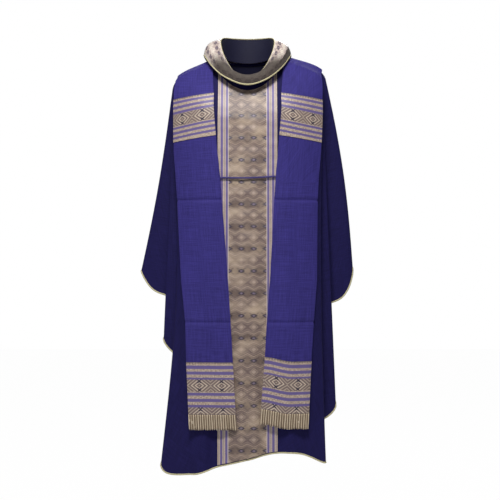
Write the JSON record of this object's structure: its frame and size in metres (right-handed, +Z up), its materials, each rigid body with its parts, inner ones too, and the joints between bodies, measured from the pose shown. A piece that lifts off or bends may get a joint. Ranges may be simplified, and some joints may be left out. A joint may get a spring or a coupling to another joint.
{
  "type": "chasuble",
  "caption": "Full semi-conical vestment with a brocade roll collar, striped orphreys, corded hems and a matching fringed overlay stole tied across the chest.",
  "frame": {"origin": "the middle of the neck opening at the height of the shoulder line", "axes": "+Z up along the hanging length, the front faces -Y, +X is to the right when the front is seen"},
  "size_m": [0.7012, 0.3919, 1.4192],
  "materials": {
    "purple_wool": "fine violet-blue wool with a soft sheen",
    "gold_cord": "pale gold corded edge",
    "collar_brocade": "gold and mauve figured brocade",
    "orphrey_brocade": "gold and lavender diamond brocade",
    "striped_braid": "gold and violet striped braid",
    "stole_band": "gold brocade bands with violet stripes",
    "gold_fringe": "gold bullion fringe",
    "navy_lining": "dark navy satin lining",
    "purple_cord": "twisted violet cord"
  },
  "bodies": {
    "chasuble": {"front_panel": "purple_wool", "back_panel": "purple_wool", "neck_facing": "navy_lining", "roll_collar": "collar_brocade", "collar_lining": "navy_lining", "collar_piping": "gold_cord", "front_orphrey": "orphrey_brocade", "front_orphrey_left_braid": "striped_braid", "front_orphrey_right_braid": "striped_braid", "back_orphrey": "orphrey_brocade", "back_orphrey_left_braid": "striped_braid", "back_orphrey_right_braid": "striped_braid", "front_hem_piping": "gold_cord", "back_hem_piping": "gold_cord", "stole_shoulders": "purple_wool", "stole_left_chest_band": "stole_band", "stole_right_chest_band": "stole_band"},
    "left_side": {"left_side_drape": "purple_wool", "left_side_piping": "gold_cord"},
    "right_side": {"right_side_drape": "purple_wool", "right_side_piping": "gold_cord"},
    "stole_front": {"stole_left_middle": "purple_wool", "stole_right_middle": "purple_wool", "tie_cord": "purple_cord"},
    "left_tail": {"stole_left_tail": "purple_wool", "stole_left_end_band": "stole_band"},
    "right_tail": {"stole_right_tail": "purple_wool", "stole_right_end_band": "stole_band"},
    "left_fringe": {"stole_left_fringe": "gold_fringe"},
    "right_fringe": {"stole_right_fringe": "gold_fringe"}
  },
  "joints": [
    {"name": "left_side_lift", "type": "hinge", "parent": "chasuble", "child": "left_side", "pos_m": [-0.232, 0, -0.05], "axis": [0, 1, 0], "range_deg": [0, 50]},
    {"name": "right_side_lift", "type": "hinge", "parent": "chasuble", "child": "right_side", "pos_m": [0.232, 0, -0.05], "axis": [0, -1, 0], "range_deg": [0, 50]},
    {"name": "stole_front_swing", "type": "hinge", "parent": "chasuble", "child": "stole_front", "pos_m": [0, -0.146, -0.267], "axis": [-1, 0, 0], "range_deg": [0, 30]},
    {"name": "left_tail_swing", "type": "hinge", "parent": "stole_front", "child": "left_tail", "pos_m": [0, -0.1525, -0.386], "axis": [-1, 0, 0], "range_deg": [0, 50]},
    {"name": "right_tail_swing", "type": "hinge", "parent": "stole_front", "child": "right_tail", "pos_m": [0, -0.1525, -0.386], "axis": [-1, 0, 0], "range_deg": [0, 50]},
    {"name": "left_fringe_swing", "type": "hinge", "parent": "left_tail", "child": "left_fringe", "pos_m": [0, -0.193, -1.1204], "axis": [-1, 0, 0], "range_deg": [0, 45]},
    {"name": "right_fringe_swing", "type": "hinge", "parent": "right_tail", "child": "right_fringe", "pos_m": [0, -0.194, -1.1084], "axis": [-1, 0, 0], "range_deg": [0, 45]}
  ]
}
